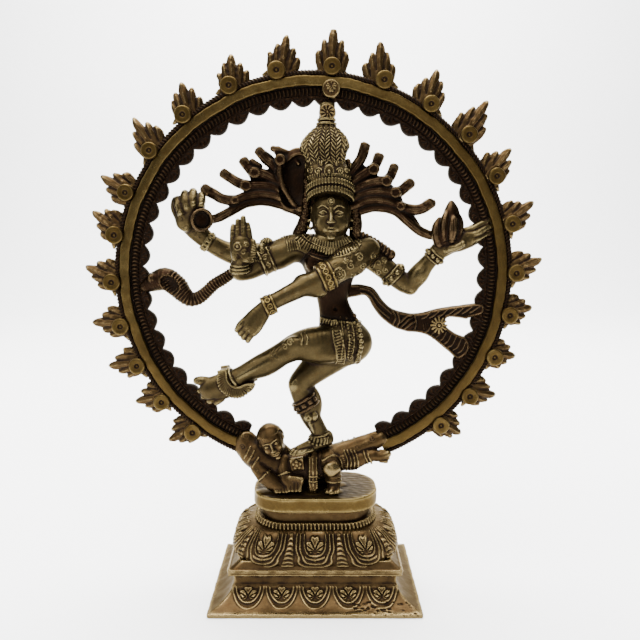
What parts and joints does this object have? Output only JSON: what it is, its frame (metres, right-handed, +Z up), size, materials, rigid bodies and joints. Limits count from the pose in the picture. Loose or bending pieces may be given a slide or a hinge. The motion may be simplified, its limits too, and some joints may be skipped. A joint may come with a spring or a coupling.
{
  "type": "ornamental metal statue",
  "caption": "Cast brass four-armed dancer inside a ring of flames, standing on a small crouched figure, on a stepped lotus pedestal.",
  "frame": {"origin": "middle of the pedestal's underside, on the surface it stands on", "axes": "+Z up through the dancer, -Y towards the viewer the dancer faces, +X to that viewer's right"},
  "size_m": [0.2427, 0.076, 0.2995],
  "materials": {
    "patinated_brass": "cast and chased brass, dark brown patina in the hollows, worn olive-gold on the high parts",
    "polished_brass": "turned or filed brass, polished, fine scratches",
    "dark_brass": "rough casting skin, deep brown patina",
    "figure_brass": "cast and chased brass, smooth worn skin, dark in the chased lines",
    "steel": "plain zinc-coated steel fastening"
  },
  "bodies": {
    "root": {"pedestal_foot": "patinated_brass", "lotus_dome": "patinated_brass", "bead_row": "patinated_brass", "plinth_neck": "patinated_brass", "oval_plinth": "polished_brass", "fixing_stud": "steel", "fixing_washer": "steel", "fixing_nut": "steel", "halo_ring": "dark_brass", "halo_rope_edge": "dark_brass", "halo_beads": "dark_brass", "halo_flames": "patinated_brass", "flame_bosses": "polished_brass", "crest_rosettes": "patinated_brass", "torso": "dark_brass", "shorts": "figure_brass", "waist_belt": "figure_brass", "collar": "figure_brass", "head": "figure_brass", "forehead_band": "figure_brass", "crown": "figure_brass", "hair_fan_left": "dark_brass", "hair_fan_right": "dark_brass", "side_locks": "dark_brass", "arm_front_right": "figure_brass", "hand_front_right": "figure_brass", "arm_front_left": "figure_brass", "hand_front_left": "figure_brass", "arm_back_right": "figure_brass", "hand_back_right": "figure_brass", "drum": "dark_brass", "arm_back_left": "figure_brass", "hand_back_left": "figure_brass", "flame_bud": "dark_brass", "armlet_front_right": "figure_brass", "armlet_front_left": "polished_brass", "armlet_back_left": "figure_brass", "bracelet_front_right": "figure_brass", "bracelet_front_left": "polished_brass", "bracelet_back_left": "figure_brass", "shoulder_tassel": "dark_brass", "snake": "dark_brass", "sash": "dark_brass", "sash_flower": "patinated_brass", "leg_raised": "figure_brass", "foot_raised": "figure_brass", "anklet_raised": "figure_brass", "leg_standing": "figure_brass", "foot_standing": "figure_brass", "anklet_standing": "figure_brass", "calf_band": "dark_brass", "dwarf_body": "patinated_brass", "dwarf_head": "patinated_brass", "dwarf_leg_left": "patinated_brass", "dwarf_leg_right": "patinated_brass", "dwarf_arm_right": "patinated_brass", "dwarf_arm_left": "patinated_brass", "dwarf_medallion": "patinated_brass", "dwarf_belt_tail": "patinated_brass", "dwarf_seat": "dark_brass"}
  },
  "joints": []
}
